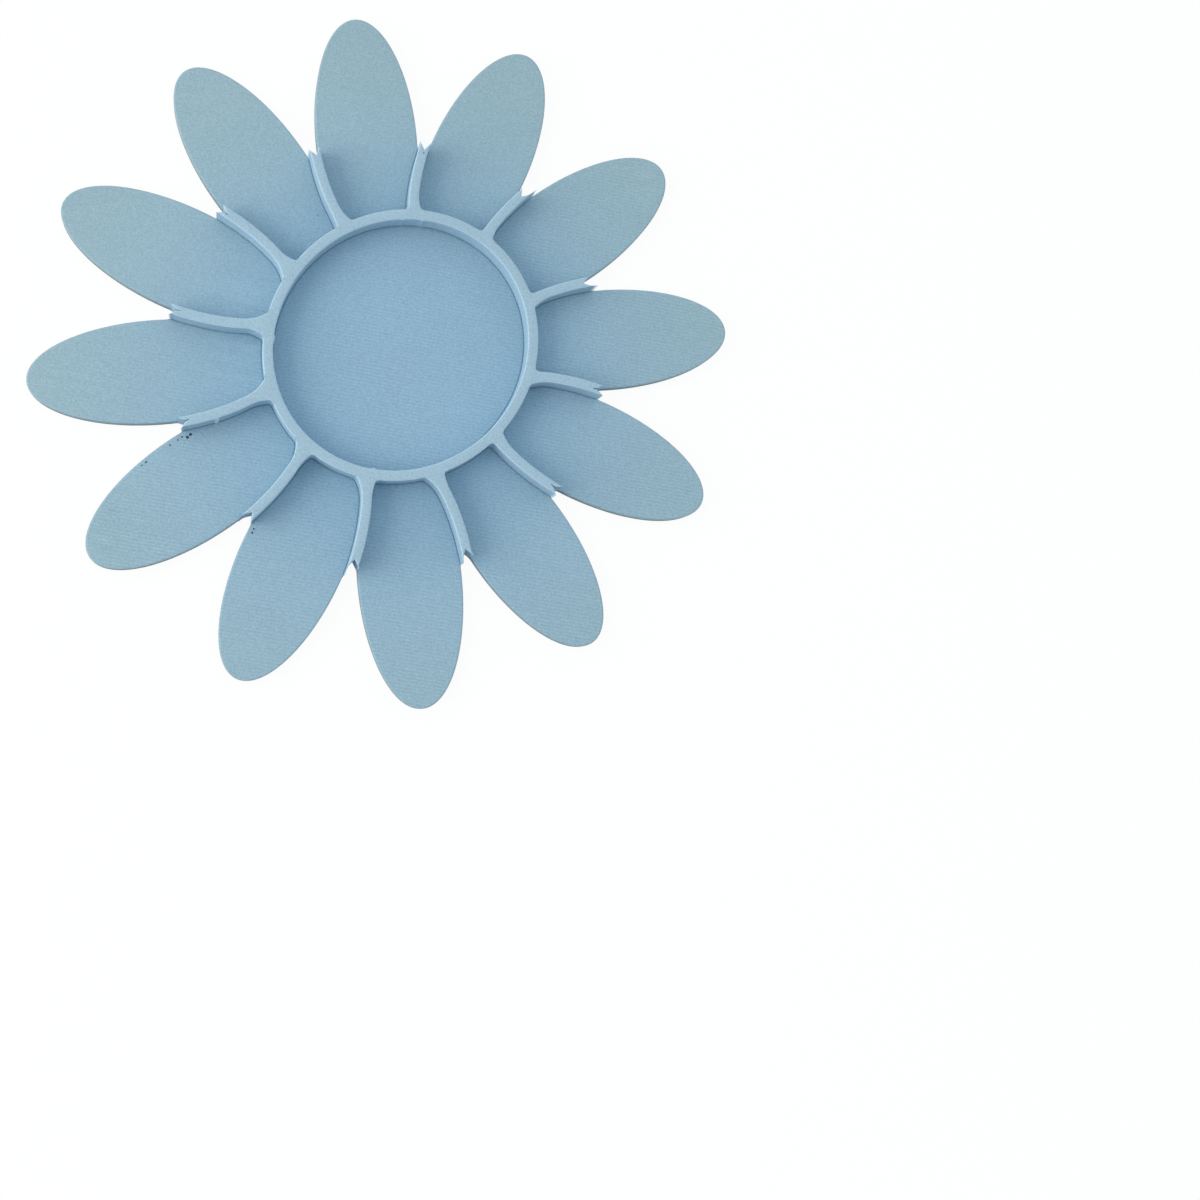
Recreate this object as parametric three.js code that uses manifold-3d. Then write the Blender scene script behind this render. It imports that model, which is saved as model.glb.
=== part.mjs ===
// A printed daisy cookie stamp: flat petals and an oval pocket, framed by a raised ring and raised ribs.
// Millimetres, +Z out of the stamping face. The origin is where the petal axes meet, on the flat back.
import * as THREE from "three";
import { mergeVertices } from "three/addons/utils/BufferGeometryUtils.js";
import Module from "manifold-3d";

// Petals: equal ellipses at an even pitch round the origin. Petal 1 lies along +Y, the rest clockwise.
const PETAL_COUNT = 12;
const PETAL_REACH = 42.5; // origin to tip
const PETAL_ROOT = 12.3; // origin to the ellipse's inner end, which the ring hides
const PETAL_WIDTH = 12.4; // short axis of the ellipse
const FAN_SIZE = 6; // petals overlap clockwise in fans, and a fan's last one lies over both neighbours
const FAN_LAST = 5; // number of the petal that ends the first fan

// Heights
const FLOOR_THICKNESS = 1.4; // petals and pocket floor
const WALL_HEIGHT = 2.8; // ring and ribs above the floor

// Ring: an oval drawn a little off the middle of the flower
const POCKET_LENGTH = 31.8; // inside the ring, along its long axis
const POCKET_BREADTH = 29.4; // inside the ring, across it
const POCKET_TURN = 40; // degrees from +X to the long axis
const POCKET_X = 1.5;
const POCKET_Y = 0.7;
const RING_WALL = 1.25;

// Ribs: each stands on the edge of the petal that lies on top and ends in a swallowtail between two petals
const RIB_WALL = 1.2;
const ROOT_OFFSET = 0.12; // from the petal's edge out to the rib's middle, at the ring
const TAIL_OFFSET = 0.55; // the same at the swallowtail
const ROOT_FLARE = 0.4; // how much a rib widens over its top petal where it meets the ring
const ROOT_WEB = 0.9; // widening over the lower petal, per mm that the ring is nearer than its mean radius
const ROOT_LENGTH = 2.4; // how far from the ring it starts to widen
const TAIL_RADIUS = 25.35; // origin to the bottom of the swallowtail's V
const TAIL_ANGLE = 70; // degrees between the sides of the V

// Facets of a full ellipse, and steps along a rib
const PETAL_FACETS = 72;
const RING_FACETS = 96;
const RIB_STEPS = 48;

// Finish: matt light blue plastic
const FLOOR_COLOUR = 0x92b1c5;
const WALL_COLOUR = 0x9fbdd0;
const ROUGHNESS = 0.62;

// A rib's ends on its petal's edge, in half turns round the ellipse from the tip
const RIB_FROM = 0.42;
const RIB_TO = 0.97;
const MOST_FLARE = 1.4; // a root stops widening this many ROOT_LENGTHs in, which the ring hides

const CUT_SPARE = 1; // cutters stand out of the work by this much at both ends
const SAME_POINT = 1e-5; // vertices this close are one
const TOTAL_HEIGHT = FLOOR_THICKNESS + WALL_HEIGHT;
const PITCH = (2 * Math.PI) / PETAL_COUNT;
const PETAL_MIDDLE = (PETAL_REACH + PETAL_ROOT) / 2;
const PETAL_ALONG = (PETAL_REACH - PETAL_ROOT) / 2;
const PETAL_ACROSS = PETAL_WIDTH / 2;
const RING_ALONG = POCKET_LENGTH / 2 + RING_WALL;
const RING_ACROSS = POCKET_BREADTH / 2 + RING_WALL;
const RING_MEAN = (RING_ALONG + RING_ACROSS) / 2;
const RING_TURN = THREE.MathUtils.degToRad(POCKET_TURN);

const wasm = await Module();
wasm.setup();

// A closed three.js geometry as a solid that can be joined and cut
function solidOf(geometry) {
  const bare = new THREE.BufferGeometry();
  bare.setAttribute("position", geometry.getAttribute("position"));
  bare.setIndex(geometry.getIndex());
  const merged = mergeVertices(bare, SAME_POINT);
  const vertProperties = merged.getAttribute("position").array;
  const triVerts = new Uint32Array(merged.getIndex().array);
  return new wasm.Manifold(new wasm.Mesh({ numProp: 3, vertProperties, triVerts }));
}

// A named mesh of a solid, with its own material
function meshOf(solid, name, color) {
  const { vertProperties, triVerts } = solid.getMesh();
  const geometry = new THREE.BufferGeometry();
  geometry.setAttribute("position", new THREE.BufferAttribute(vertProperties, 3));
  geometry.setIndex(new THREE.BufferAttribute(triVerts, 1));
  geometry.computeVertexNormals();
  const material = new THREE.MeshStandardMaterial({ color, roughness: ROUGHNESS, metalness: 0 });
  const mesh = new THREE.Mesh(geometry, material);
  mesh.name = name;
  return mesh;
}

// An outline raised from the back face to a height
function raised(shape, height, facets) {
  const settings = { depth: height, bevelEnabled: false, curveSegments: facets / 2 };
  return solidOf(new THREE.ExtrudeGeometry(shape, settings));
}

// The same outline as a cutter that goes right through the part
function cutter(shape, facets) {
  const settings = { depth: TOTAL_HEIGHT + 2 * CUT_SPARE, bevelEnabled: false, curveSegments: facets / 2 };
  return solidOf(new THREE.ExtrudeGeometry(shape, settings).translate(0, 0, -CUT_SPARE));
}

// Direction of petal k from the origin, counted clockwise from 1 at +Y
function heading(k) {
  return Math.PI / 2 - (k - 1) * PITCH;
}

// The point at a distance from the origin in a direction
function polar(distance, direction) {
  return new THREE.Vector2(distance * Math.cos(direction), distance * Math.sin(direction));
}

function petalOutline(k) {
  const { x, y } = polar(PETAL_MIDDLE, heading(k));
  return new THREE.Shape().absellipse(x, y, PETAL_ALONG, PETAL_ACROSS, 0, 2 * Math.PI, false, heading(k));
}

function pocketOutline() {
  const along = POCKET_LENGTH / 2;
  const across = POCKET_BREADTH / 2;
  return new THREE.Shape().absellipse(POCKET_X, POCKET_Y, along, across, 0, 2 * Math.PI, false, RING_TURN);
}

function ringOutline() {
  const [x, y] = [POCKET_X, POCKET_Y];
  return new THREE.Shape().absellipse(x, y, RING_ALONG, RING_ACROSS, 0, 2 * Math.PI, false, RING_TURN);
}

// How far a point lies outside the ring, measured from the pocket's middle
function outsideRing(point) {
  const middle = new THREE.Vector2(POCKET_X, POCKET_Y);
  const away = point.clone().sub(middle);
  const turned = away.clone().rotateAround(new THREE.Vector2(), -RING_TURN);
  const share = Math.hypot(turned.x / RING_ALONG, turned.y / RING_ACROSS);
  return away.length() * (1 - 1 / share);
}

// The bay between petals k and k + 1, half way to their axes, from the origin to a V that opens outwards
function bayOutline(k) {
  const half = THREE.MathUtils.degToRad(TAIL_ANGLE / 2);
  const tip = (TAIL_RADIUS * Math.sin(half)) / Math.sin(half - PITCH / 4); // where the V's sides end
  const right = polar(tip, heading(k + 0.75));
  const bottom = polar(TAIL_RADIUS, heading(k + 0.5));
  const left = polar(tip, heading(k + 0.25));
  return new THREE.Shape([new THREE.Vector2(), right, bottom, left]);
}

// Petals are numbered round the flower, so the one after the last is the first
function wrap(k) {
  return ((k - 1 + PETAL_COUNT) % PETAL_COUNT) + 1;
}

// Of petals k and k + 1, the one that lies on top
function topPetal(k) {
  return k % FAN_SIZE === FAN_LAST % FAN_SIZE ? k : wrap(k + 1);
}

// Rib k as a strip along the edge of its top petal, from inside the ring to past the swallowtail
function ribOutline(k) {
  const top = topPetal(k);
  const side = top === k ? -1 : 1;
  const inner = [];
  const outer = [];
  for (let step = 0; step <= RIB_STEPS; step++) {
    const t = Math.PI * THREE.MathUtils.lerp(RIB_FROM, RIB_TO, step / RIB_STEPS);
    const along = PETAL_ALONG * Math.cos(t);
    const across = side * PETAL_ACROSS * Math.sin(t);
    const edge = new THREE.Vector2(PETAL_MIDDLE + along, across);
    const out = new THREE.Vector2(along / PETAL_ALONG ** 2, across / PETAL_ACROSS ** 2).normalize();
    edge.rotateAround(new THREE.Vector2(), heading(top));
    out.rotateAround(new THREE.Vector2(), heading(top));
    const share = (edge.length() - RING_MEAN) / (TAIL_RADIUS - RING_MEAN);
    const offset = THREE.MathUtils.lerp(ROOT_OFFSET, TAIL_OFFSET, share);
    const gap = outsideRing(edge);
    const near = THREE.MathUtils.clamp(1 - gap / ROOT_LENGTH, 0, MOST_FLARE) ** 2;
    const web = ROOT_WEB * Math.max(RING_MEAN - (edge.length() - gap), 0);
    inner.push(edge.clone().addScaledVector(out, offset - RIB_WALL / 2 - ROOT_FLARE * near));
    outer.push(edge.clone().addScaledVector(out, offset + RIB_WALL / 2 + web * near));
  }
  return new THREE.Shape([...inner, ...outer.reverse()]);
}

// A rib fills the bay between two petals as far as the swallowtail, and its strip covers both their edges.
// Its root runs on into the ring, which is cut off once the petals are trimmed.
function rib(k) {
  const bay = raised(bayOutline(k), TOTAL_HEIGHT, PETAL_FACETS);
  const between = bay.subtract(cutter(petalOutline(k), PETAL_FACETS));
  const fill = between.subtract(cutter(petalOutline(wrap(k + 1)), PETAL_FACETS));
  const strip = bay.intersect(cutter(ribOutline(k), PETAL_FACETS));
  return fill.add(strip);
}

// A petal floor: its ellipse, less the ring, its two ribs and any neighbour that lies over it
function petal(k) {
  let floor = raised(petalOutline(k), FLOOR_THICKNESS, PETAL_FACETS);
  for (const [between, neighbour] of [[wrap(k - 1), wrap(k - 1)], [k, wrap(k + 1)]]) {
    if (topPetal(between) === neighbour) {
      floor = floor.subtract(cutter(petalOutline(neighbour), PETAL_FACETS));
    }
    floor = floor.subtract(ribs[between]);
  }
  return floor.subtract(ringSpace);
}

function ring() {
  const outer = raised(ringOutline(), TOTAL_HEIGHT, RING_FACETS);
  return outer.subtract(cutter(pocketOutline(), RING_FACETS));
}

const ringSpace = cutter(ringOutline(), RING_FACETS);
const ribs = [];
for (let k = 1; k <= PETAL_COUNT; k++) {
  ribs[k] = rib(k);
}

const stamp = new THREE.Group();
stamp.name = "cookie_stamp";
stamp.add(meshOf(raised(pocketOutline(), FLOOR_THICKNESS, RING_FACETS), "pocket_floor", FLOOR_COLOUR));
stamp.add(meshOf(ring(), "centre_ring", WALL_COLOUR));
for (let k = 1; k <= PETAL_COUNT; k++) {
  const number = String(k).padStart(2, "0");
  stamp.add(meshOf(petal(k), "petal_" + number, FLOOR_COLOUR));
  stamp.add(meshOf(ribs[k].subtract(ringSpace), "rib_" + number, WALL_COLOUR));
}

export default stamp;
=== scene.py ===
import math
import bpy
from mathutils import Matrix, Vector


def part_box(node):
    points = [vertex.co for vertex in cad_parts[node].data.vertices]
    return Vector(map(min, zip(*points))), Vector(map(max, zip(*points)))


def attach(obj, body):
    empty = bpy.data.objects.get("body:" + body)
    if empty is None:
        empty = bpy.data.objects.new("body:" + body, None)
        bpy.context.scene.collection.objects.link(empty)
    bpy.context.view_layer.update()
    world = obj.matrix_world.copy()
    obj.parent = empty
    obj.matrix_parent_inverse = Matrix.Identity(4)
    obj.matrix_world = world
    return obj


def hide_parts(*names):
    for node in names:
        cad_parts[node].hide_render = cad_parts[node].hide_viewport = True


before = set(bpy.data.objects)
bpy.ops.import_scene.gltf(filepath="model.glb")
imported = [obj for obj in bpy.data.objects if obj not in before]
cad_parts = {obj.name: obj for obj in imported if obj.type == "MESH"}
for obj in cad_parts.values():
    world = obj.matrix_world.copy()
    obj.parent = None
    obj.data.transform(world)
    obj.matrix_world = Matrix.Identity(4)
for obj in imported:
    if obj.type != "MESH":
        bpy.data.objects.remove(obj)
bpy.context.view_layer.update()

from types import SimpleNamespace

import bmesh
import bpy
import numpy as np
from bpy.props import FloatProperty, FloatVectorProperty, PointerProperty
from mathutils import Matrix, Vector
from mathutils.geometry import delaunay_2d_cdt

bl_info = {
    "name": "Printed Daisy Stamp",
    "version": (1, 0, 0),
    "blender": (4, 5, 0),
    "location": "3D View > Sidebar > Daisy Stamp",
    "description": "Dresses a printed daisy stamp with its print lines, layers and matt finish",
    "category": "Mesh",
}

MM = 0.001  # the outlines are in millimetres, Blender in metres
UP = (0.0, 0.0, 1.0)
BODY = "root"
POCKET = "pocket_floor"
RING = "centre_ring"
PETALS = sorted(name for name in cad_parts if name.startswith("petal_"))
RIBS = sorted(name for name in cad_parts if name.startswith("rib_"))
WALLS = [RING, *RIBS]

# Tolerances of the outlines and meshes, lengths in millimetres
SAME_POINT = 0.004  # points this close are one
CLOSEST_POINTS = 0.03  # nearer points of an outline are thinned out
TOUCHING = 0.02  # outlines this close lie against each other
FLAT_GAP = 1e-6  # points this close are one when a face is filled
TINY = 1e-12  # keeps divisions by a step's squared length finite
CORNER_TURN = math.radians(30)  # an outline that turns more has a corner there
SHARP_EDGE = math.radians(50)  # a sharper edge isn't shaded smooth
LEAST_SPREAD = 0.3  # keeps the inward direction at a sharp corner finite
CLEAR_SHARE = 0.98  # a point moved in stays this share of its shift away from the outline, or closes up

# Steps along the smoothed outlines, in millimetres
FLOOR_STEP = 0.25
WALL_STEP = 0.15

# Pinholes and specks of the upper faces: place, radius and rise in millimetres
FACE_MARKS = (
    (-24.18, -7.80, 0.20, -0.55), (-24.58, -8.12, 0.21, -0.55), (-25.21, -8.06, 0.12, -0.3),
    (-25.70, -8.38, 0.11, -0.3), (-26.67, -8.90, 0.11, -0.3), (-29.58, -10.68, 0.13, -0.4),
    (-30.06, -10.99, 0.11, -0.3), (-30.42, -11.20, 0.11, -0.3), (-17.80, -19.60, 0.12, -0.5),
    (-18.02, -20.04, 0.12, -0.5), (-18.98, -21.29, 0.11, -0.3), (-6.97, 17.83, 0.15, 0.15),
    (6.43, 24.04, 0.10, -0.4),
)

MARK_SIDES = 8  # corners round a pinhole or speck
MARK_FLOOR = 0.6  # its flat middle, as a share of its radius
MARK_CLEARANCE = 1.6  # how far the face's own points keep away, in radii

# Blobs and ridges on the sides of the walls: place, reach and rise in millimetres
SIDE_MARK_GAP = 0.6  # a mark belongs to an outline that passes this near
SIDE_MARKS = (
    (3.07, 15.92, 0.25, 0.10), (5.49, 15.65, 0.30, 0.10), (-13.38, 2.40, 0.25, 0.14),
    (-3.34, -14.20, 0.18, 0.16), (-21.04, -6.83, 0.22, 0.16),
)

# How far the clockwise prong of a swallowtail is drawn out, in millimetres
DRAWN_PRONGS = {"rib_02": 1.1, "rib_03": 0.7, "rib_06": 0.6, "rib_07": 1.1, "rib_08": 0.5}

PRONG_ROOT = 0.35  # how much of the V's side a drawn-out prong takes up

# Ribs whose swallowtail is split at the bottom of its V, and the slit's half width and depth in millimetres
SPLIT_TAILS = ("rib_04", "rib_05", "rib_09", "rib_10", "rib_11")
SLIT_HALF = 0.16
SLIT_DEPTH = 0.5

# Fillets: how much their reach grows as the corner narrows, with its least and most share, and their form
FILLET_GROWTH = 1.2
FILLET_SHARES = (0.3, 1.4)
FILLET_FULLNESS = 0.12
FILLET_POINTS = 9

# The line round a floor's edge, in millimetres
SHOULDER = ((0.0, 0.11), (0.02, 0.06))  # its rounded outer side: how far in and how far down
CREST_START = 0.09  # from the edge to where its top is flat
CREST_END = 0.1  # from where that flat ends to the groove inside the line

# The parallel lines of a floor, in millimetres
ROWS_PER_LINE = 3  # rows of points: one in the groove, the others on the crest
ROW_END = 0.12  # from a row's end to the outline
ROW_STEP = 0.9  # between the points of a row
ROW_CLEARANCE = 0.045  # from any of its points to the outline

# Mottling of the plastic: scale along the lines, across them and upwards, per metre, and share of the colour
CLOUD_SCALE, CLOUD_SHARE = (90.0, 90.0, 90.0), 0.09
PATCH_SCALE = (250.0, 500.0, 500.0)  # where the painted groove shade shows more and less
GRAIN_SCALE, GRAIN_SHARE = (1450.0, 1700.0, 1700.0), 0.07
FINE_SCALE, FINE_SHARE = (4400.0, 4800.0, 4800.0), 0.32
GRAIN_HARDNESS = 0.85
# Painted shade in the grooves between the print lines and painted light on their crests, as a share of the
# colour
FLOOR_GROOVE_SHADE = 0.08
WALL_GROOVE_SHADE = 0.02
FAINTEST_GROOVE_SHADE = 0.25  # how much of the painted groove shade is left where it is faintest
GROOVE_SHADE_GROWS = (20.0, -45.0, 0.0)  # direction in which the painted groove shade gets clearer, per metre
GRAIN_ROUGHNESS = 0.3
BUMP_STRENGTH = 0.4
BUMP_HEIGHT = 0.00005
GLOSS = 0.35

# Painted light: the floors pale towards the petals' tips, for the warmer light and weaker blue bounce there:
# start in metres from the origin, rate per metre, and lean towards +Y
PALE_START = 0.012
PALE_RATE = 33.0
PALE_LEAN = (0.0, 0.2, 0.0)
FOOT_HEIGHT = 1.0  # the foot of a floor's side, in millimetres
PAINTED_FOOT_SHADOW = 0.35  # how much darker the painted contact shadow makes it at the bottom

# White floor under the stamp: side and gap to the back in metres, its white, and the grey that it throws back
STAGE_SIDE = 4.0
STAGE_DROP = 0.0001
STAGE_WHITE = (0.97, 0.97, 0.97, 1.0)
STAGE_BOUNCE = (0.3, 0.3, 0.3, 1.0)
STAGE_GLOW = 0.94  # how much of the white is its own light, so that only soft shadows show
WHITE = (1.0, 1.0, 1.0, 1.0)
ZENITH_SPARE = 1.001  # keeps the sideways share finite straight above

# Camera: where it stands, in millimetres, its axes, shift and lens
CAMERA_PLACE = (-23.89, -38.97, 198.02)
CAMERA_RIGHT = (0.98244, -0.10343, 0.15529)
CAMERA_DOWN = (-0.08121, -0.98636, -0.14315)
CAMERA_FORWARD = (0.16798, 0.12803, -0.97744)
CAMERA_SHIFT = (0.10, -0.12)
CAMERA_LENS = 50.0
CAMERA_NEAR = 0.01


# Settings

class PrintSettings(bpy.types.PropertyGroup):
    """Sizes that the printer leaves in the plastic"""

    line_width: FloatProperty(
        name="Line width", description="Width of one printed line", unit="LENGTH",
        default=0.416 * MM, min=0.2 * MM, max=1.0 * MM)
    line_angle: FloatProperty(
        name="Line angle", description="Direction of the parallel lines on the floors, from +X",
        default=math.radians(165.2), subtype="ANGLE")
    groove: FloatProperty(
        name="Groove", description="Depth of the groove between two lines", unit="LENGTH",
        default=0.01 * MM, min=0.0, max=0.1 * MM)
    layer: FloatProperty(
        name="Layer", description="Height of one printed layer", unit="LENGTH",
        default=0.2 * MM, min=0.05 * MM, max=0.4 * MM)
    bulge: FloatProperty(
        name="Bulge", description="How far a layer swells out of the side", unit="LENGTH",
        default=0.03 * MM, min=0.0, max=0.1 * MM)
    tuck: FloatProperty(
        name="Tuck", description="How far a floor runs under the wall beside it", unit="LENGTH",
        default=0.06 * MM, min=0.0, max=0.3 * MM)
    seam: FloatProperty(
        name="Seam", description="Width of the seam where a floor meets a wall", unit="LENGTH",
        default=0.1 * MM, min=0.01 * MM, max=0.4 * MM)
    seam_depth: FloatProperty(
        name="Seam depth", description="Depth of that seam", unit="LENGTH",
        default=0.12 * MM, min=0.12 * MM, max=0.6 * MM)
    edge: FloatProperty(
        name="Edge", description="Radius of the walls' top edges", unit="LENGTH",
        default=0.16 * MM, min=0.02 * MM, max=0.19 * MM)
    fillet: FloatProperty(
        name="Fillet", description="Reach of the fillet where a rib meets the ring", unit="LENGTH",
        default=0.5 * MM, min=0.05 * MM, max=1.5 * MM)


class FinishSettings(bpy.types.PropertyGroup):
    """Colours and shine of the plastic"""

    # Painted light: the floor colour goes over into the tip colour towards the tips and towards +Y, for the
    # warmer light and weaker blue bounce there
    floor: FloatVectorProperty(
        name="Floor", description="Colour of the floors near the middle", subtype="COLOR", size=3,
        default=(0.286, 0.440, 0.546), min=0.0, max=1.0)
    tip: FloatVectorProperty(
        name="Tip", description="Colour of the floors at the tips of the petals", subtype="COLOR", size=3,
        default=(0.306, 0.436, 0.472), min=0.0, max=1.0)
    # Painted light and shade: the tops and the sides of the walls are lit and shaded copies of one plastic,
    # the sides bluer as painted shade
    wall: FloatVectorProperty(
        name="Wall", description="Colour of the tops of the ring and the ribs", subtype="COLOR", size=3,
        default=(0.355, 0.495, 0.565), min=0.0, max=1.0)
    side: FloatVectorProperty(
        name="Side", description="Colour of the sides of the ring and the ribs", subtype="COLOR", size=3,
        default=(0.334, 0.510, 0.642), min=0.0, max=1.0)
    roughness: FloatProperty(
        name="Roughness", description="Mean roughness of the matt plastic", subtype="FACTOR",
        default=0.6, min=0.0, max=1.0)


class StageSettings(bpy.types.PropertyGroup):
    """Light and floor round the stamp"""

    key: FloatProperty(
        name="Key light", description="Share of the light that comes from the soft lamp",
        subtype="FACTOR", default=0.29, min=0.0, max=1.0)
    horizon: FloatProperty(
        name="Horizon", description="Strength of the light that comes in low, from all round",
        default=1.1, min=0.0)
    zenith: FloatProperty(
        name="Zenith", description="Strength of the light that comes from straight above",
        default=0.69, min=0.0)
    falloff: FloatProperty(
        name="Falloff", description="How fast the light fades from the horizon to the zenith",
        default=1.4, min=0.1)
    sideways: FloatProperty(
        name="Sideways", description="How much of the low light comes from the left and the right",
        subtype="FACTOR", default=0.9, min=0.0, max=1.0)
    slope: FloatProperty(
        name="Slope", description="How much brighter the room is on the +Y side than on the -Y side",
        subtype="FACTOR", default=0.35, min=0.0, max=1.0)
    horizon_tint: FloatVectorProperty(
        name="Horizon tint", description="Colour of the low light", subtype="COLOR", size=3,
        default=(1.18, 1.0, 0.82), min=0.0, soft_max=2.0)
    zenith_tint: FloatVectorProperty(
        name="Zenith tint", description="Colour of the light from above", subtype="COLOR", size=3,
        default=(0.73, 0.965, 1.20), min=0.0, soft_max=2.0)
    lamp_tint: FloatVectorProperty(
        name="Lamp tint", description="Colour of the soft lamp", subtype="COLOR", size=3,
        default=(1.10, 1.0, 0.91), min=0.0, soft_max=2.0)
    lamp_size: FloatProperty(
        name="Lamp size", description="Side of the square lamp", default=0.34, unit="LENGTH")
    lamp_distance: FloatProperty(
        name="Lamp distance", description="From the stamp to the lamp", default=0.4, unit="LENGTH")
    lamp_heading: FloatProperty(
        name="Lamp heading", description="Direction of the lamp round the stamp, from +X",
        default=math.radians(180), subtype="ANGLE")
    lamp_height: FloatProperty(
        name="Lamp height", description="Angle of the lamp above the floor",
        default=math.radians(28), subtype="ANGLE")


def print_sizes(scene):
    """The sizes of the print in millimetres, as the outlines are, and the angle of its lines"""
    settings = scene.daisy_print
    sizes = {name: getattr(settings, name) / MM for name in PrintSettings.__annotations__}
    sizes["line_angle"] = settings.line_angle
    return SimpleNamespace(**sizes)


# Outlines of the frame's solids

def steps_of(points):
    """The vectors from each point of a closed outline to the next"""
    return np.roll(points, -1, axis=0) - points


def gap_to_steps(points, starts, ends):
    """Distance from each point to the nearest of some straight steps"""
    along = ends - starts
    length = np.maximum((along ** 2).sum(1), TINY)
    away = points[:, None, :] - starts[None, :, :]
    share = np.clip((away * along[None, :, :]).sum(2) / length[None, :], 0.0, 1.0)
    nearest = starts[None, :, :] + share[:, :, None] * along[None, :, :]
    return np.sqrt(((points[:, None, :] - nearest) ** 2).sum(2).min(1))


def top_loops(node):
    """The outlines of a node's flat top, in millimetres, with the solid on the left"""
    solid = bmesh.new()
    solid.from_mesh(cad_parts[node].data)
    bmesh.ops.remove_doubles(solid, verts=solid.verts, dist=SAME_POINT * MM / 2)
    solid.verts.index_update()
    solid.faces.index_update()
    height = max(vert.co.z for vert in solid.verts)
    limit = height - SAME_POINT * MM
    top = [face.index for face in solid.faces if min(vert.co.z for vert in face.verts) > limit]
    follows = {}
    solid.faces.ensure_lookup_table()
    for index in top:
        for corner in solid.faces[index].loops:
            if corner.link_loop_radial_next.face.index not in top:
                follows[corner.vert.index] = corner.link_loop_next.vert.index
    places = np.array([(vert.co.x / MM, vert.co.y / MM) for vert in solid.verts])
    solid.free()
    loops = []
    while follows:
        loop = [min(follows)]
        while loop[-1] in follows:
            loop.append(follows.pop(loop[-1]))
        loops.append(places[loop[:-1]])
    return sorted(loops, key=np.ptp, reverse=True)


def thinned(points):
    """The outline without points that crowd the one before them"""
    kept = [points[0]]
    for point in points[1:]:
        if np.hypot(*(point - kept[-1])) > CLOSEST_POINTS:
            kept.append(point)
    if np.hypot(*(kept[0] - kept[-1])) < CLOSEST_POINTS:
        kept.pop()
    return np.array(kept)


def smooth_stretch(points, step, spare=0):
    """Even steps along a smooth curve through the points, less some spare ones and the last one"""
    chords = np.hypot(*np.diff(points, axis=0).T)
    knots = np.concatenate([[0.0], np.cumsum(chords)])
    slopes = np.diff(points, axis=0) / chords[:, None]
    tangents = np.empty_like(points)
    tangents[0] = slopes[0]
    tangents[-1] = slopes[-1]
    before, after = chords[:-1, None], chords[1:, None]
    tangents[1:-1] = (slopes[:-1] * after + slopes[1:] * before) / (before + after)
    start, end = knots[spare], knots[-1 - spare]
    count = max(1, round((end - start) / step))
    at = np.linspace(start, end, count + 1)[:-1]
    part = np.clip(np.searchsorted(knots, at, side="right") - 1, 0, len(chords) - 1)
    width = chords[part][:, None]
    t = ((at - knots[part]) / chords[part])[:, None]
    first = (1 + 2 * t) * (1 - t) ** 2 * points[part] + t * (1 - t) ** 2 * width * tangents[part]
    last = t ** 2 * (3 - 2 * t) * points[part + 1] + t ** 2 * (t - 1) * width * tangents[part + 1]
    return first + last


def turns_of(points):
    """How far a closed outline turns to the left at each point"""
    ahead = steps_of(points)
    heading = np.arctan2(ahead[:, 1], ahead[:, 0])
    return (heading - np.roll(heading, 1) + math.pi) % (2 * math.pi) - math.pi


def corners_of(points):
    """The points at which a closed outline turns sharply"""
    return np.flatnonzero(np.abs(turns_of(points)) > CORNER_TURN)


def resampled(points, step):
    """The outline in even steps, with its corners kept and its facets smoothed away"""
    points = thinned(points)
    corners = corners_of(points)
    if not len(corners):
        return smooth_stretch(np.concatenate([points[-1:], points, points[:2]]), step, 1)
    stretches = []
    for start, end in zip(corners, np.roll(corners, -1)):
        if end <= start:
            end += len(points)
        stretches.append(smooth_stretch(points[np.arange(start, end + 1) % len(points)], step))
    return np.concatenate(stretches)


def touching_steps(points, others):
    """Which steps of an outline lie against other outlines"""
    middles = points + steps_of(points) / 2
    near = np.zeros(len(points), bool)
    for other in others:
        near |= gap_to_steps(middles, other, np.roll(other, -1, axis=0)) < TOUCHING
    return near


def walked(points, start, way, reach):
    """The place at a distance along an outline from one of its points, and the number of points passed"""
    here, passed = points[start], 0
    while True:
        ahead = points[(start + way * (passed + 1)) % len(points)]
        length = np.hypot(*(ahead - here))
        if length >= reach:
            return here + (ahead - here) * reach / length, passed
        here, reach, passed = ahead, reach - length, passed + 1


def fillet_reach(first, second, fillet):
    """The reach of the fillet between two directions, which is shorter where they open wide"""
    opening = first @ second / (np.hypot(*first) * np.hypot(*second))
    least, most = FILLET_SHARES
    return fillet * min(max(1 + FILLET_GROWTH * opening, least), most)


def fillet_curve(first, corner, last):
    """A curve that rounds the corner between two points"""
    middle = corner + (first + last - 2 * corner) * FILLET_FULLNESS
    t = np.linspace(0.0, 1.0, FILLET_POINTS)[:, None]
    return (1 - t) ** 2 * first + 2 * t * (1 - t) * middle + t ** 2 * last


def with_curves(points, curves, dropped):
    """The outline with curves in the place of some points, and without the dropped ones"""
    made = []
    for index, point in enumerate(points):
        if index in curves:
            made.extend(curves[index])
        elif index not in dropped:
            made.append(point)
    return np.array(made)


def split_tail(points):
    """A rib's outline with a slit at the bottom of its swallowtail"""
    bottom = int(turns_of(points).argmin())
    first, before = walked(points, bottom, -1, SLIT_HALF)
    last, after = walked(points, bottom, 1, SLIT_HALF)
    end = points[bottom] * (1 - SLIT_DEPTH / np.hypot(*points[bottom]))
    dropped = {(bottom + step) % len(points) for step in range(-before, after + 1)}
    return with_curves(points, {bottom: [first, end, last]}, dropped)


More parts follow.
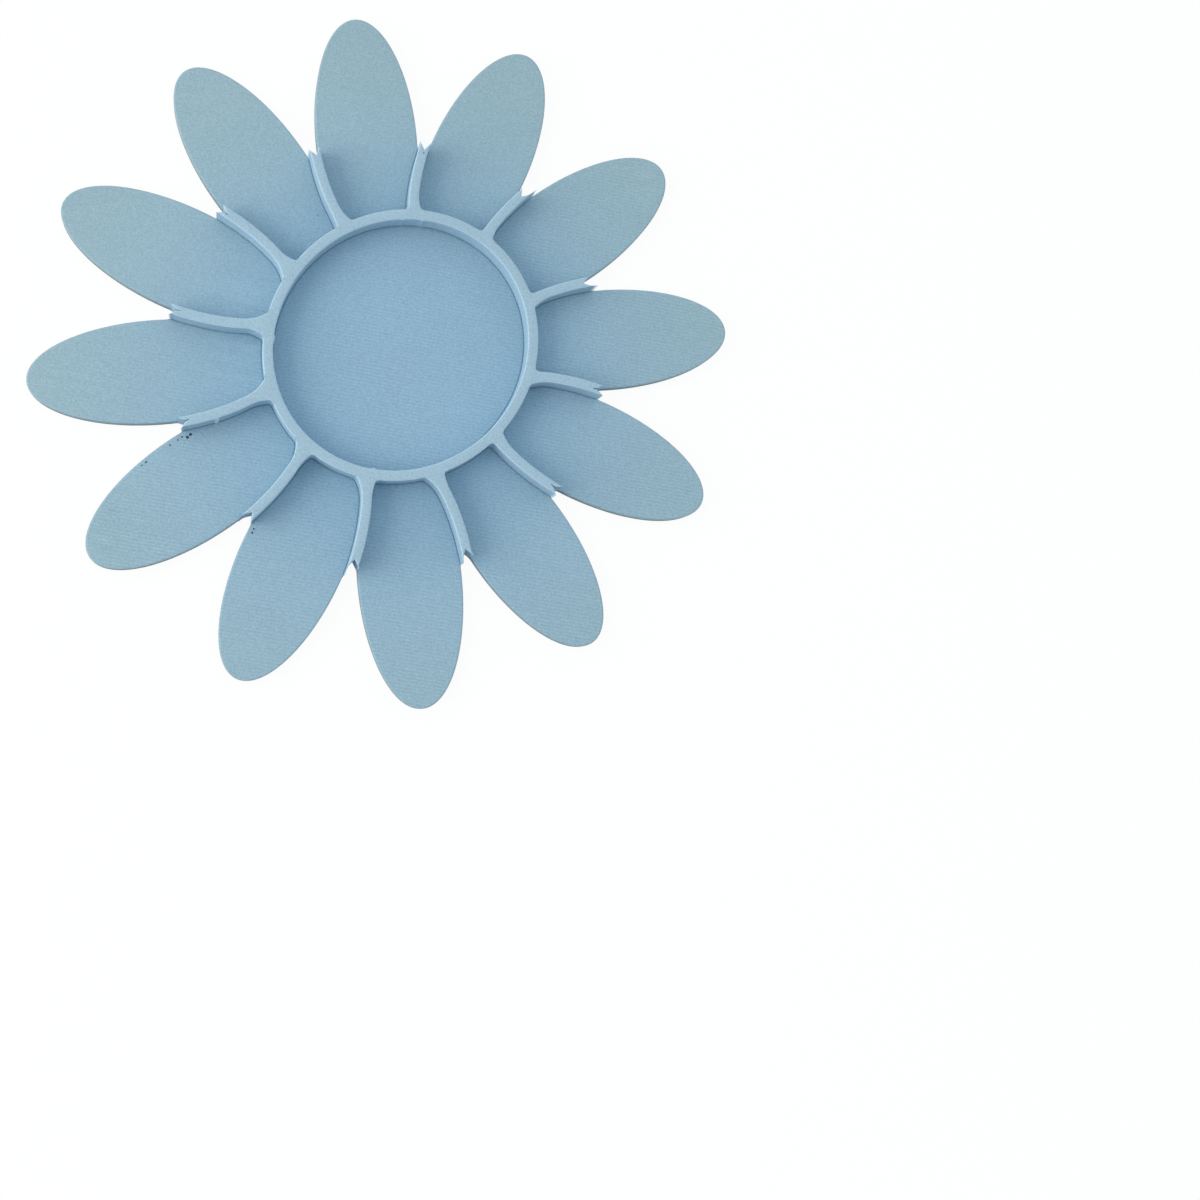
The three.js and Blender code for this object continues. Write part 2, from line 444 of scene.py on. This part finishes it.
def drawn_prong(points, length):
    """A rib's outline with the first prong of its swallowtail drawn out to a thin point"""
    turns = turns_of(points)
    bottom = int(turns.argmin())
    tip = bottom - 1
    while turns[tip] < CORNER_TURN:
        tip -= 1
    tip %= len(points)
    side = points[tip] - points[tip - 1]
    point = points[tip] + side / np.hypot(*side) * length
    back, passed = walked(points, tip, 1, PRONG_ROOT)
    dropped = {(tip + step) % len(points) for step in range(passed + 1)}
    return with_curves(points, {tip: [point, back]}, dropped)


def rib_outline(node, fillet):
    """A rib's outline, with fillets that run out along the ring on both sides of its root"""
    points = thinned(top_loops(node)[0])
    if node in SPLIT_TAILS:
        points = split_tail(points)
    if node in DRAWN_PRONGS:
        points = drawn_prong(points, DRAWN_PRONGS[node])
    held = touching_steps(points, top_loops(RING))
    curves, dropped = {}, set()
    for corner in range(len(points)):
        if held[corner - 1] == held[corner]:
            continue
        way = 1 if held[corner - 1] else -1
        along_ring = points[corner] - points[(corner - way) % len(points)]
        side, _ = walked(points, corner, way, fillet)
        reach = fillet_reach(along_ring, side - points[corner], fillet)
        first = points[corner] + along_ring / np.hypot(*along_ring) * reach
        last, passed = walked(points, corner, way, reach)
        curves[corner] = fillet_curve(first, points[corner], last)[::way]
        dropped.update((corner + way * step) % len(points) for step in range(passed + 1))
    return with_curves(points, curves, dropped)


def floor_outline(loop, fillet):
    """A floor's outline, with the corners between two walls rounded"""
    points = thinned(loop)
    held = touching_steps(points, neighbour_loops(WALLS))
    curves, dropped = {}, set()
    for corner in corners_of(points):
        if held[corner - 1] and held[corner]:
            before, after = (walked(points, corner, way, fillet)[0] - points[corner] for way in (-1, 1))
            reach = fillet_reach(before, after, fillet)
            first, passed = walked(points, corner, -1, reach)
            last, ahead = walked(points, corner, 1, reach)
            curves[corner] = fillet_curve(first, points[corner], last)
            dropped.update((corner + step) % len(points) for step in range(-passed, ahead + 1))
    return with_curves(points, curves, dropped)


class Outline:
    """A closed outline whose steps are free edges or lie against a neighbour"""

    def __init__(self, points, neighbours):
        self.points = points
        self.free = ~touching_steps(points, neighbours)
        self.edge = self.free & np.roll(self.free, 1)
        self.held = ~self.free & ~np.roll(self.free, 1)
        self.room_by_held = self.gap(points, ~self.free) / 2
        self.room_by_free = self.gap(points, self.free) / 2
        along = steps_of(points)
        along /= np.hypot(*along.T)[:, None]
        inward = np.stack([-along[:, 1], along[:, 0]], 1)
        behind = np.roll(inward, 1, axis=0)
        spread = np.maximum(1 + (inward * behind).sum(1), LEAST_SPREAD)
        self.inward = (inward + behind) / spread[:, None]

    def gap(self, points, steps):
        """Distance from some points to the nearest of some of the outline's steps"""
        if not steps.any():
            return np.full(len(points), np.inf)
        return gap_to_steps(points, self.points[steps], np.roll(self.points, -1, axis=0)[steps])

    def marked(self):
        """Pushes the free edges out at the blobs and ridges"""
        moved = self.points.copy()
        for x, y, reach, rise in SIDE_MARKS:
            away = np.hypot(*(self.points - (x, y)).T)
            if away.min() < SIDE_MARK_GAP:
                from_top = np.hypot(*(self.points - self.points[away.argmin()]).T)
                bell = np.where(self.edge, rise * np.exp(-(from_top / reach) ** 2), 0.0)
                moved -= self.inward * bell[:, None]
        self.points = moved
        return self

    def tucked(self, reach):
        """Moves the held stretches outwards, under their neighbours"""
        self.points = self.points - np.where(self.held[:, None], self.inward * reach, 0.0)
        return self

    def inset(self, depth, seam=0.0):
        """The outline moved in from its free edges by a depth and from its held stretches by a seam;
        what would cross over closes up into one point"""
        shift = np.where(self.edge, np.minimum(depth, self.room_by_held), 0.0)
        shift = np.where(self.held, np.minimum(seam, self.room_by_free), shift)
        moved = self.points + self.inward * shift[:, None]
        kept = self.gap(moved, np.ones(len(moved), bool)) >= CLEAR_SHARE * shift
        if not kept.any():
            raise ValueError(f"an outline is too narrow to be moved in by {depth} mm")
        total = len(moved)
        start = int(np.flatnonzero(kept)[0])
        index = start
        while index < start + total:
            run = index
            while not kept[run % total]:
                run += 1
            if run > index:
                before, after = (index - 1) % total, run % total
                stand_in = (moved[before] + moved[after]) / 2
                for side in (before, after):
                    if not self.edge[side]:
                        stand_in = moved[side]
                moved[np.arange(index, run) % total] = stand_in
            index = max(run, index) + 1
        return moved


# Meshes

def inside(points, contours):
    """Which points lie inside an odd number of contours"""
    starts = np.concatenate(contours)
    ends = np.concatenate([np.roll(contour, -1, axis=0) for contour in contours])
    x, y = points[:, :1], points[:, 1:]
    rise = np.where(ends[:, 1] == starts[:, 1], 1.0, ends[:, 1] - starts[:, 1])
    crossing = (starts[:, 1] <= y) != (ends[:, 1] <= y)
    at = starts[:, 0] + (y - starts[:, 1]) * (ends[:, 0] - starts[:, 0]) / rise
    return (crossing & (at > x)).sum(1) % 2 == 1


def filled(contours, inner=None):
    """Triangles between closed contours, through the inner points: points, triangles and their sources"""
    places = [Vector(point) for contour in contours for point in contour]
    edges = []
    start = 0
    for contour in contours:
        count = len(contour)
        edges += [(start + i, start + (i + 1) % count) for i in range(count)]
        start += count
    if inner is not None:
        places += [Vector(point) for point in inner]
    inside_edges = 1  # the kind of result: triangles inside the edges
    made = delaunay_2d_cdt(places, edges, [], inside_edges, FLAT_GAP)
    points, sources = made[0], made[3]
    middles = np.array([sum((points[i] for i in triangle), Vector((0, 0))) / 3 for triangle in made[2]])
    triangles = [triangle for triangle, solid in zip(made[2], inside(middles, contours)) if solid]
    return points, triangles, [source[0] if source else None for source in sources]


class PrintedMesh:
    """One mesh grown ring by ring from the back of the stamp to its face, with a cap at both ends"""

    def __init__(self, outlines):
        self.outlines = outlines
        self.places = []
        self.faces = []
        self.last = None
        self.first = None

    def ring(self, depth, height, seam=0.0, drop=0.0):
        """Adds a ring at a height, moved in by a depth, and joins it to the ring below;
        its held points are moved in by the seam and lowered by the drop"""
        rings = []
        for outline in self.outlines:
            start = len(self.places)
            points = outline.inset(depth, seam)
            heights = height - np.where(outline.held, drop, 0.0)
            self.places += [(x, y, z) for (x, y), z in zip(points, heights)]
            rings.append(np.arange(start, start + len(points)))
        if self.last is not None:
            for low, high in zip(self.last, rings):
                ahead = np.roll(np.arange(len(low)), -1)
                self.faces += np.stack([low, low[ahead], high[ahead], high], 1).tolist()
        else:
            self.first = rings
        self.last = rings

    def contours(self, rings):
        """The rings as flat contours without repeated points, with each point's place in the mesh"""
        flat, owners = [], []
        for ring in rings:
            points = np.array([self.places[i][:2] for i in ring])
            fresh = np.hypot(*(points - np.roll(points, 1, axis=0)).T) > SAME_POINT
            flat.append(points[fresh])
            owners += ring[fresh].tolist()
        return flat, owners

    def cap(self, rings, facing_up, inner=None, heights=None):
        """Closes the mesh inside its rings, through the inner points if there are any"""
        flat, owners = self.contours(rings)
        level = self.places[rings[0][0]][2]
        points, triangles, sources = filled(flat, inner)
        names = []
        for point, source in zip(points, sources):
            if source is not None and source < len(owners):
                names.append(owners[source])
                continue
            height = level if source is None else heights[source - len(owners)]
            names.append(len(self.places))
            self.places.append((point.x, point.y, height))
        for triangle in triangles:
            a, b, c = (points[i] for i in triangle)
            upward = (b - a).cross(c - a) > 0
            order = triangle if upward == facing_up else triangle[::-1]
            self.faces.append([names[i] for i in order])

    def build(self, name, material):
        """The finished object, in metres, with repeated points merged"""
        mesh = bpy.data.meshes.new(name)
        mesh.from_pydata((np.array(self.places) * MM).tolist(), [], self.faces)
        body = bmesh.new()
        body.from_mesh(mesh)
        bmesh.ops.remove_doubles(body, verts=body.verts, dist=SAME_POINT * MM / 2)
        bmesh.ops.dissolve_degenerate(body, edges=body.edges, dist=SAME_POINT * MM / 4)
        loose = [vert for vert in body.verts if not vert.link_faces]
        bmesh.ops.delete(body, geom=loose, context="VERTS")
        bmesh.ops.recalc_face_normals(body, faces=body.faces)
        open_edges = sum(not edge.is_manifold for edge in body.edges)
        body.to_mesh(mesh)
        body.free()
        if open_edges:
            print(name, "has", open_edges, "edges that aren't shared by two faces")
        mesh.shade_smooth()
        mesh.set_sharp_from_angle(angle=SHARP_EDGE)
        piece = bpy.data.objects.new(name, mesh)
        bpy.context.scene.collection.objects.link(piece)
        mesh.materials.append(material)
        return piece


def printed_sides(mesh, sizes, height, seam_depth=0.0):
    """Rings from the back to the last layer: each layer swells out of the side"""
    layers = round(height / sizes.layer)
    for layer in range(layers):
        low, middle = layer * height / layers, (layer + 0.5) * height / layers
        mesh.ring(sizes.bulge, low, 0.0, seam_depth * low / height)
        if layer < layers - 1:
            mesh.ring(0.0, middle, 0.0, seam_depth * middle / height)


def rounded_edge(mesh, radius, height):
    """Rings of the rounded edge of a wall's top"""
    for angle in np.radians([0.0, 22.5, 45.0, 67.5, 90.0]):
        mesh.ring(radius * (1 - math.cos(angle)), height - radius * (1 - math.sin(angle)))


def edge_line(mesh, sizes, height):
    """Rings of the line that runs round a floor and of the seam along its walls"""
    deep = sizes.seam_depth
    for inwards, down in SHOULDER:
        mesh.ring(inwards, height - down, 0.0, deep - down)
    mesh.ring(CREST_START, height, sizes.tuck, deep)
    mesh.ring(sizes.line_width - CREST_END, height, sizes.tuck + sizes.seam / 2, deep / 2)
    mesh.ring(sizes.line_width, height - sizes.groove, sizes.tuck + sizes.seam)


def line_points(contours, sizes, height):
    """Points along the parallel lines inside contours, and their heights: crests and grooves by turns"""
    turn = sizes.line_angle
    axis_u = np.array([math.cos(turn), math.sin(turn)])
    axis_v = np.array([-axis_u[1], axis_u[0]])
    starts = np.concatenate(contours)
    ends = np.concatenate([np.roll(contour, -1, axis=0) for contour in contours])
    u0, v0, u1, v1 = starts @ axis_u, starts @ axis_v, ends @ axis_u, ends @ axis_v
    pitch = sizes.line_width / ROWS_PER_LINE
    points, heights = [], []
    for row in range(math.ceil(v0.min() / pitch), math.floor(v0.max() / pitch) + 1):
        v = row * pitch
        crossing = (v0 <= v) != (v1 <= v)
        u = np.sort(u0[crossing] + (v - v0[crossing]) * (u1 - u0)[crossing] / (v1 - v0)[crossing])
        for left, right in zip(u[::2], u[1::2]):
            room = right - left - 2 * ROW_END
            if room <= 0:
                continue
            count = max(2, math.ceil(room / ROW_STEP) + 1)
            places = np.linspace(left + ROW_END, right - ROW_END, count)
            points += [axis_u * at + axis_v * v for at in places]
            heights += [height - (0.0 if row % ROWS_PER_LINE else sizes.groove)] * count
    points, heights = np.array(points), np.array(heights)
    clear = gap_to_steps(points, starts, ends) > ROW_CLEARANCE
    return points[clear], heights[clear]


def dress(piece, node):
    """Puts a piece in the place of its node"""
    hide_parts(node)
    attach(piece, BODY)
    return piece


def neighbour_loops(names):
    """All outlines of some nodes"""
    return [loop for name in names for loop in top_loops(name)]


def wall_loops(sizes):
    """The outlines of the ring and of the filleted ribs"""
    return top_loops(RING) + [rib_outline(node, sizes.fillet) for node in RIBS]


def with_marks(points, heights, level, contours):
    """Points and heights of a face, with the pinholes and specks inside its contours"""
    around = np.arange(MARK_SIDES) * 2 * math.pi / MARK_SIDES
    circle = np.stack([np.cos(around), np.sin(around)], 1)
    for x, y, radius, rise in FACE_MARKS:
        middle = np.array([x, y])
        if not inside(middle[None, :], contours)[0]:
            continue
        clear = np.hypot(*(points - middle).T) > MARK_CLEARANCE * radius
        mark = np.concatenate([middle + circle * radius, middle + circle * radius * MARK_FLOOR, [middle]])
        rises = np.where(np.arange(len(mark)) < MARK_SIDES, 0.0, rise)
        points = np.concatenate([points[clear], mark])
        heights = np.concatenate([heights[clear], level + rises])
    return points, heights


def printed_floor(node, sizes, material):
    """A flat floor of parallel lines, with one line round its free edge"""
    walls = wall_loops(sizes)
    loops = [resampled(floor_outline(loop, sizes.fillet), FLOOR_STEP) for loop in top_loops(node)]
    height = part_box(node)[1].z / MM
    mesh = PrintedMesh([Outline(loop, walls).tucked(sizes.tuck) for loop in loops])
    printed_sides(mesh, sizes, height, sizes.seam_depth)
    edge_line(mesh, sizes, height)
    flat, _ = mesh.contours(mesh.last)
    inner, heights = with_marks(*line_points(flat, sizes, height), height, flat)
    mesh.cap(mesh.last, True, inner, heights)
    mesh.cap(mesh.first, False)
    return dress(mesh.build(node + "_print", material), node)


def printed_wall(node, loops, others, sizes, material):
    """A wall of stacked layers with a rounded top edge"""
    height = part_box(node)[1].z / MM
    mesh = PrintedMesh([Outline(resampled(loop, WALL_STEP), others).marked() for loop in loops])
    printed_sides(mesh, sizes, height)
    rounded_edge(mesh, sizes.edge, height)
    flat, _ = mesh.contours(mesh.last)
    inner, heights = with_marks(np.empty((0, 2)), np.empty(0), height, flat)
    mesh.cap(mesh.last, True, inner, heights)
    mesh.cap(mesh.first, False)
    return dress(mesh.build(node + "_print", material), node)


# Materials

class Socket:
    """A node's output, with arithmetic that adds Math nodes"""

    def __init__(self, nodes, socket):
        self.nodes = nodes
        self.socket = socket

    def worked(self, operation, *values):
        """The output of a Math node that takes the values"""
        return self.nodes.node("ShaderNodeMath", {"operation": operation}, dict(enumerate(values)))

    def __add__(self, other):
        return self.worked("ADD", self, other)

    def __sub__(self, other):
        return self.worked("SUBTRACT", self, other)

    def __mul__(self, other):
        return self.worked("MULTIPLY", self, other)

    def __truediv__(self, other):
        return self.worked("DIVIDE", self, other)

    def __rsub__(self, other):
        return self.worked("SUBTRACT", other, self)

    def __rtruediv__(self, other):
        return self.worked("DIVIDE", other, self)

    __radd__ = __add__
    __rmul__ = __mul__

    def __abs__(self):
        return self.worked("ABSOLUTE", self)

    def raised(self, power):
        """The value to a power"""
        return self.worked("POWER", self, power)

    def cosine(self):
        """The cosine of the value, as an angle in radians"""
        return self.worked("COSINE", self)

    def clamped(self):
        """The value held between 0 and 1"""
        return self.nodes.node("ShaderNodeClamp", {}, {0: self})


class Nodes:
    """A node tree while it is being made"""

    def __init__(self, tree):
        self.tree = tree

    def node(self, kind, settings, inputs, output=0):
        """Adds a node: its settings first, then the values or links of its inputs"""
        made = self.tree.nodes.new(kind)
        for key, value in settings.items():
            setattr(made, key, value)
        for key, value in inputs.items():
            self.feed(made.inputs[key], value)
        return Socket(self, made.outputs[output])

    def feed(self, socket, value):
        """Links a socket, or sets its value"""
        if isinstance(value, Socket):
            self.tree.links.new(value.socket, socket)
        else:
            socket.default_value = value

    def mixed(self, factor, first, second):
        """A colour between two others"""
        settings = {"data_type": "RGBA"}
        return self.node("ShaderNodeMix", settings, {"Factor": factor, "A": first, "B": second}, 2)


class Finish(Nodes):
    """The node tree of a new material"""

    def __init__(self, name):
        self.material = bpy.data.materials.new(name)
        self.material.use_nodes = True
        super().__init__(self.material.node_tree)
        self.shader = self.tree.nodes["Principled BSDF"]


def stretched(finish, turn, scale):
    """Object coordinates turned about Z, then stretched"""
    place = finish.node("ShaderNodeTexCoord", {}, {}, "Object")
    turned = finish.node(
        "ShaderNodeVectorRotate", {"rotation_type": "Z_AXIS"}, {"Vector": place, "Angle": turn})
    return finish.node("ShaderNodeVectorMath", {"operation": "MULTIPLY"}, {0: turned, 1: scale})


def noise(finish, turn, scale, detail, roughness=0.5):
    """Noise over the piece, stretched along lines that are turned by an angle"""
    vector = stretched(finish, turn, scale)
    inputs = {"Vector": vector, "Scale": 1.0, "Detail": detail, "Roughness": roughness}
    return finish.node("ShaderNodeTexNoise", {}, inputs)


def along(nodes, vector, direction):
    """How far a vector reaches in a direction"""
    settings = {"operation": "DOT_PRODUCT"}
    return nodes.node("ShaderNodeVectorMath", settings, {0: vector, 1: direction}, "Value")


def opaque(colour):
    """A colour as four values, for a Mix node"""
    return (*colour, 1.0)


def printed_plastic(finish, colour, sizes, roughness, groove_shade, painted_light):
    """Matt printed plastic: soft cloudiness, uneven painted shade along the grooves of the print lines and a
    sandy grain, on a colour scaled by the painted light and shade that it is given
    """
    turn = -sizes.line_angle
    cloud = noise(finish, turn, CLOUD_SCALE, 2.0)
    patches = noise(finish, turn, PATCH_SCALE, 1.0)
    grain = noise(finish, turn, GRAIN_SCALE, 2.0, GRAIN_HARDNESS)
    fine = noise(finish, turn, FINE_SCALE, 0.0)
    place = finish.node("ShaderNodeTexCoord", {}, {}, "Object")
    # Painted shade: the colour darkens along the grooves of the print lines and pales on their crests, more
    # in some patches than in others
    clear = (along(finish, place, GROOVE_SHADE_GROWS) + 1.0).clamped() * (1.0 - FAINTEST_GROOVE_SHADE) + FAINTEST_GROOVE_SHADE
    across = stretched(finish, turn, (0.0, 2.0 * math.pi / (sizes.line_width * MM), 0.0))
    phase = along(finish, across, (0.0, 1.0, 0.0))
    lines = phase.cosine() * patches * clear * -groove_shade
    mottle = (cloud - 0.5) * CLOUD_SHARE + (grain - 0.5) * GRAIN_SHARE + (fine - 0.5) * FINE_SHARE
    tone = {0: colour, "Scale": mottle + lines + painted_light}
    base = finish.node("ShaderNodeVectorMath", {"operation": "SCALE"}, tone)
    finish.feed(finish.shader.inputs["Base Color"], base)
    finish.feed(finish.shader.inputs["Roughness"], (grain - 0.5) * GRAIN_ROUGHNESS + roughness)
    rough_face = {"Strength": BUMP_STRENGTH, "Distance": BUMP_HEIGHT, "Height": (grain + fine) * 0.5}
    bump = finish.node("ShaderNodeBump", {}, rough_face)
    finish.feed(finish.shader.inputs["Normal"], bump)
    finish.shader.inputs["Specular IOR Level"].default_value = GLOSS
    return finish.material


def floor_finish(scene):
    """The plastic of the floors: paler towards the petals' tips, as painted light, and darker at the foot of
    their sides, as a painted contact shadow
    """
    found = bpy.data.materials.get("printed_floor")
    if found:
        return found
    look = scene.daisy_finish
    finish = Finish("printed_floor")
    place = finish.node("ShaderNodeTexCoord", {}, {}, "Object")
    flat = finish.node("ShaderNodeVectorMath", {"operation": "MULTIPLY"}, {0: place, 1: (1.0, 1.0, 0.0)})
    reach = finish.node("ShaderNodeVectorMath", {"operation": "LENGTH"}, {0: flat}, "Value")
    # Painted light: the floors pale towards the tips and towards +Y
    painted_tip_light = ((reach + along(finish, place, PALE_LEAN) - PALE_START) * PALE_RATE).clamped()
    colour = finish.mixed(painted_tip_light, opaque(look.floor), opaque(look.tip))
    normal = finish.node("ShaderNodeNewGeometry", {}, {}, "Normal")
    # Painted shadow: the sides of a floor darken towards their foot, as a contact shadow
    upright = 1.0 - abs(along(finish, normal, UP))
    foot = 1.0 - (along(finish, place, UP) / (FOOT_HEIGHT * MM)).clamped()
    painted_light = 1.0 - upright * foot * PAINTED_FOOT_SHADOW
    return printed_plastic(finish, colour, print_sizes(scene), look.roughness, FLOOR_GROOVE_SHADE, painted_light)


def wall_finish(scene):
    """The plastic of the walls, with painted shade that makes the sides bluer than the tops, and a painted
    highlight that makes the rim paler
    """
    found = bpy.data.materials.get("printed_wall")
    if found:
        return found
    look = scene.daisy_finish
    finish = Finish("printed_wall")
    normal = finish.node("ShaderNodeNewGeometry", {}, {}, "Normal")
    # Painted shade: faces that turn from up take the bluer side colour, and upward faces take the greyer top
    # colour
    top = along(finish, normal, UP).clamped()
    colour = finish.mixed(top, opaque(look.side), opaque(look.wall))
    # Painted highlight: the rounded rim between a wall's top and its side is made paler
    painted_light = top * (1.0 - top) + 1.0
    return printed_plastic(finish, colour, print_sizes(scene), look.roughness, WALL_GROOVE_SHADE, painted_light)


def seen_rays(nodes):
    """1 for rays that the camera sees, straight or by gloss or glass, and 0 for the others"""
    kinds = ("Is Camera Ray", "Is Glossy Ray", "Is Transmission Ray")
    return sum(nodes.node("ShaderNodeLightPath", {}, {}, kind) for kind in kinds).clamped()


# Operators

class DAISY_OT_pocket_floor(bpy.types.Operator):
    """Print the flat floor inside the ring"""

    bl_idname = "daisy.pocket_floor"
    bl_label = "Pocket Floor"

    def execute(self, context):
        printed_floor(POCKET, print_sizes(context.scene), floor_finish(context.scene))
        return {"FINISHED"}


class DAISY_OT_petals(bpy.types.Operator):
    """Print the flat petals"""

    bl_idname = "daisy.petals"
    bl_label = "Petals"

    def execute(self, context):
        for node in PETALS:
            printed_floor(node, print_sizes(context.scene), floor_finish(context.scene))
        return {"FINISHED"}


class DAISY_OT_ring(bpy.types.Operator):
    """Print the oval ring round the pocket"""

    bl_idname = "daisy.ring"
    bl_label = "Ring"

    def execute(self, context):
        sizes = print_sizes(context.scene)
        ribs = [rib_outline(node, sizes.fillet) for node in RIBS]
        printed_wall(RING, top_loops(RING), ribs, sizes, wall_finish(context.scene))
        return {"FINISHED"}


class DAISY_OT_ribs(bpy.types.Operator):
    """Print the ribs between the petals"""

    bl_idname = "daisy.ribs"
    bl_label = "Ribs"

    def execute(self, context):
        sizes = print_sizes(context.scene)
        for node in RIBS:
            outline = rib_outline(node, sizes.fillet)
            printed_wall(node, [outline], top_loops(RING), sizes, wall_finish(context.scene))
        return {"FINISHED"}


class DAISY_OT_stage(bpy.types.Operator):
    """Set up the white floor, the soft light and the camera"""

    bl_idname = "daisy.stage"
    bl_label = "Stage"

    def execute(self, context):
        scene = context.scene
        scene.view_settings.view_transform = "Standard"
        self.add_floor(scene)
        self.add_lamp(scene)
        self.set_world(scene)
        self.add_camera(scene)
        return {"FINISHED"}

    def add_floor(self, scene):
        """The white floor, which keeps the stamp's shadow"""
        half = STAGE_SIDE / 2
        corners = [(-half, -half), (half, -half), (half, half), (-half, half)]
        mesh = bpy.data.meshes.new("white_floor")
        mesh.from_pydata([(x, y, -STAGE_DROP) for x, y in corners], [], [(0, 1, 2, 3)])
        finish = Finish("white_floor")
        finish.shader.inputs["Roughness"].default_value = 1.0
        finish.shader.inputs["Specular IOR Level"].default_value = 0.0
        seen = seen_rays(finish)
        paint = finish.mixed(seen, STAGE_BOUNCE, STAGE_WHITE)
        finish.feed(finish.shader.inputs["Base Color"], paint)
        glow = finish.node("ShaderNodeEmission", {}, {"Color": WHITE, "Strength": 1.0})
        lit = Socket(finish, finish.shader.outputs[0])
        both = finish.node("ShaderNodeMixShader", {}, {0: seen * STAGE_GLOW, 1: lit, 2: glow})
        output = finish.tree.nodes["Material Output"]
        finish.feed(output.inputs["Surface"], both)
        mesh.materials.append(finish.material)
        floor = bpy.data.objects.new("white_floor", mesh)
        scene.collection.objects.link(floor)

    def add_lamp(self, scene):
        """The soft lamp, which looks at the middle of the stamp"""
        stage = scene.daisy_stage
        rise, turn = stage.lamp_height, stage.lamp_heading
        away = Vector((math.cos(rise) * math.cos(turn), math.cos(rise) * math.sin(turn), math.sin(rise)))
        lamp = bpy.data.lights.new("soft_lamp", "AREA")
        lamp.shape = "SQUARE"
        lamp.size = stage.lamp_size
        lamp.color = stage.lamp_tint
        # A flat white surface under the lamp then reflects the key light's share
        lamp.energy = stage.key * math.pi ** 2 * stage.lamp_distance ** 2 / math.sin(rise)
        holder = bpy.data.objects.new("soft_lamp", lamp)
        holder.location = away * stage.lamp_distance
        holder.rotation_euler = away.to_track_quat("Z", "Y").to_euler()
        scene.collection.objects.link(holder)

    def set_world(self, scene):
        """The room's light, which looks white whatever its tint"""
        world = bpy.data.worlds.new("white_room")
        world.use_nodes = True
        room = Nodes(world.node_tree)
        stage = scene.daisy_stage
        towards = room.node("ShaderNodeTexCoord", {}, {}, "Generated")
        up = along(room, towards, UP).clamped()
        low = (1.0 - up).raised(stage.falloff)
        across = along(room, towards, (1.0, 0.0, 0.0))
        share = across * across / (ZENITH_SPARE - up * up)
        sideways = (share * 2.0 - 1.0) * stage.sideways + 1.0
        tint = room.mixed(low, opaque(stage.zenith_tint), opaque(stage.horizon_tint))
        slope = along(room, towards, (0.0, stage.slope, 0.0)) + 1.0
        strength = (low * sideways * (stage.horizon - stage.zenith) + stage.zenith) * slope
        light = room.node("ShaderNodeVectorMath", {"operation": "SCALE"}, {0: tint, "Scale": strength})
        shown = room.mixed(seen_rays(room), light, WHITE)
        room.feed(world.node_tree.nodes["Background"].inputs["Color"], shown)
        scene.world = world

    def add_camera(self, scene):
        """The camera at the photograph's view"""
        lens = bpy.data.cameras.new("camera")
        lens.lens = CAMERA_LENS
        lens.shift_x, lens.shift_y = CAMERA_SHIFT
        lens.clip_start = CAMERA_NEAR
        camera = bpy.data.objects.new("camera", lens)
        axes = Matrix((CAMERA_RIGHT, -Vector(CAMERA_DOWN), -Vector(CAMERA_FORWARD))).transposed()
        place = Matrix.Translation(Vector(CAMERA_PLACE) * MM)
        camera.matrix_world = place @ axes.to_4x4()
        scene.collection.objects.link(camera)
        scene.camera = camera


class DAISY_PT_panel(bpy.types.Panel):
    """Lists the steps and settings of the stamp"""

    bl_idname = "DAISY_PT_panel"
    bl_label = "Daisy Stamp"
    bl_space_type = "VIEW_3D"
    bl_region_type = "UI"
    bl_category = "Daisy Stamp"

    def draw(self, context):
        """One button for each step, then the settings"""
        layout = self.layout
        for operator in OPERATORS:
            layout.operator(operator.bl_idname)
        for group in (context.scene.daisy_print, context.scene.daisy_finish, context.scene.daisy_stage):
            column = layout.column()
            for name in group.__annotations__:
                column.prop(group, name)


SETTINGS = {"daisy_print": PrintSettings, "daisy_finish": FinishSettings, "daisy_stage": StageSettings}
OPERATORS = (DAISY_OT_pocket_floor, DAISY_OT_petals, DAISY_OT_ring, DAISY_OT_ribs, DAISY_OT_stage)
CLASSES = (*SETTINGS.values(), *OPERATORS, DAISY_PT_panel)


def register():
    """Adds the classes, and the settings to the scene"""
    for cls in CLASSES:
        bpy.utils.register_class(cls)
    for name, group in SETTINGS.items():
        setattr(bpy.types.Scene, name, PointerProperty(type=group))


def unregister():
    """Takes the settings and the classes out again"""
    for name in SETTINGS:
        delattr(bpy.types.Scene, name)
    for cls in reversed(CLASSES):
        bpy.utils.unregister_class(cls)


def main():
    register()
    bpy.ops.daisy.stage()
    bpy.ops.daisy.pocket_floor()
    bpy.ops.daisy.petals()
    bpy.ops.daisy.ring()
    bpy.ops.daisy.ribs()


if __name__ == "__main__":
    main()
